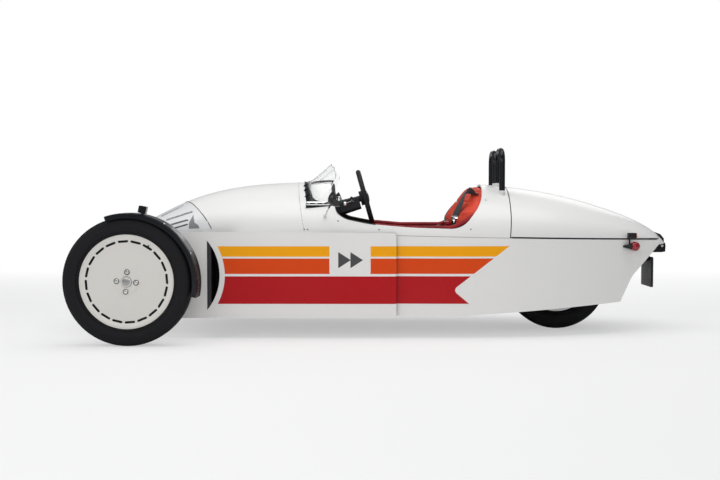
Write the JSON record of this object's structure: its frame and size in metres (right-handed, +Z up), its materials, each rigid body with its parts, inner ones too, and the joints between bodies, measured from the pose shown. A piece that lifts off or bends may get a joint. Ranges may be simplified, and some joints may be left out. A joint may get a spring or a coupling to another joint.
{
  "type": "open three-wheeled car",
  "caption": "Open two-seat three-wheeled car with two steered front wheels under mudguards, side blades, roll hoops and a boat-shaped tail over the rear wheel.",
  "frame": {"origin": "on the ground under the middle of the overall box", "axes": "+X to the tail, -Y the car's left side, +Z up"},
  "size_m": [3.58, 1.85, 1.1299],
  "materials": {
    "body_white": "gloss",
    "blade_white": "gloss",
    "black_metal": "gloss",
    "black_satin": "satin",
    "cast_metal": "brushed",
    "steel": "brushed",
    "iron": "rough",
    "tyre": "matte",
    "wheel_white": "satin",
    "clear": "clear",
    "red_lens": "clear",
    "amber_lens": "clear",
    "leather": "satin",
    "rim_grip": "satin"
  },
  "bodies": {
    "chassis": {"hull": "body_white", "scuttle": "body_white", "bonnet": "body_white", "nose_cowl": "cast_metal", "rear_wheel_tub": "black_satin", "grille": "black_satin", "side_blades": "blade_white", "radiators": "black_satin", "headlamp_pods": "black_metal", "headlamp_lenses": "clear", "steering_column": "black_satin", "dashboard": "black_satin", "seats": "leather", "cockpit_rolls": "leather", "roll_hoops": "black_metal", "aeroscreens": "clear", "aeroscreen_rails": "cast_metal", "mirrors": "black_satin", "lid_hinge_bracket": "black_metal", "tail_lamp_pods": "black_satin", "tail_lamp_lenses": "red_lens", "plate_holder": "black_satin", "centre_tunnel": "black_satin", "cabin_controls": "steel", "engine_block": "iron", "wishbones": "black_metal", "front_dampers": "steel", "rack_housing": "cast_metal", "swing_arm": "black_metal"},
    "steering_wheel_body": {"steering_wheel": "rim_grip"},
    "rack_body": {"steering_rack": "steel"},
    "rear_wheel_body": {"rear_wheel": "black_metal", "rear_tyre": "tyre"},
    "lid_body": {"tail_lid": "body_white", "lid_hinge_arm": "black_metal"},
    "knuckle_body_left": {"knuckle_left": "cast_metal", "mudguard_left": "black_metal", "front_flasher_lens_left": "amber_lens"},
    "wheel_body_left": {"front_wheel_left": "wheel_white", "front_tyre_left": "tyre", "brake_disc_left": "steel"},
    "knuckle_body_right": {"knuckle_right": "cast_metal", "mudguard_right": "black_metal", "front_flasher_lens_right": "amber_lens"},
    "wheel_body_right": {"front_wheel_right": "wheel_white", "front_tyre_right": "tyre", "brake_disc_right": "steel"}
  },
  "joints": [
    {"name": "steer_left", "type": "hinge", "parent": "chassis", "child": "knuckle_body_left", "pos_m": [-1.432, -0.745, 0.358], "axis": [0, 0, 1], "range_deg": [-30, 30]},
    {"name": "steer_right", "type": "hinge", "parent": "chassis", "child": "knuckle_body_right", "pos_m": [-1.432, 0.745, 0.358], "axis": [0, 0, 1], "range_deg": [-30, 30]},
    {"name": "wheel_spin_left", "type": "hinge", "parent": "knuckle_body_left", "child": "wheel_body_left", "pos_m": [-1.432, -0.85, 0.358], "axis": [0, 1, 0], "continuous": true},
    {"name": "wheel_spin_right", "type": "hinge", "parent": "knuckle_body_right", "child": "wheel_body_right", "pos_m": [-1.432, 0.85, 0.358], "axis": [0, 1, 0], "continuous": true},
    {"name": "steering_wheel_turn", "type": "hinge", "parent": "chassis", "child": "steering_wheel_body", "pos_m": [-0.114, -0.27, 0.8265], "axis": [0.9622, 0, 0.2723], "range_deg": [-376, 376]},
    {"name": "rack_slide", "type": "slide", "parent": "chassis", "child": "rack_body", "axis": [0, 1, 0], "range_m": [-0.063, 0.063]},
    {"name": "rear_wheel_spin", "type": "hinge", "parent": "chassis", "child": "rear_wheel_body", "pos_m": [1.09, 0, 0.318], "axis": [0, 1, 0], "continuous": true},
    {"name": "tail_lid_hinge", "type": "hinge", "parent": "chassis", "child": "lid_body", "pos_m": [1.766, 0, 0.521], "axis": [0, 1, 0], "range_deg": [0, 60]}
  ],
  "couplings": [
    {"joint": "steer_right", "follows": "steer_left", "ratio": 1},
    {"joint": "rack_slide", "follows": "steer_left", "m_per_rad": 0.12},
    {"joint": "steering_wheel_turn", "follows": "steer_left", "ratio": 12.5}
  ]
}
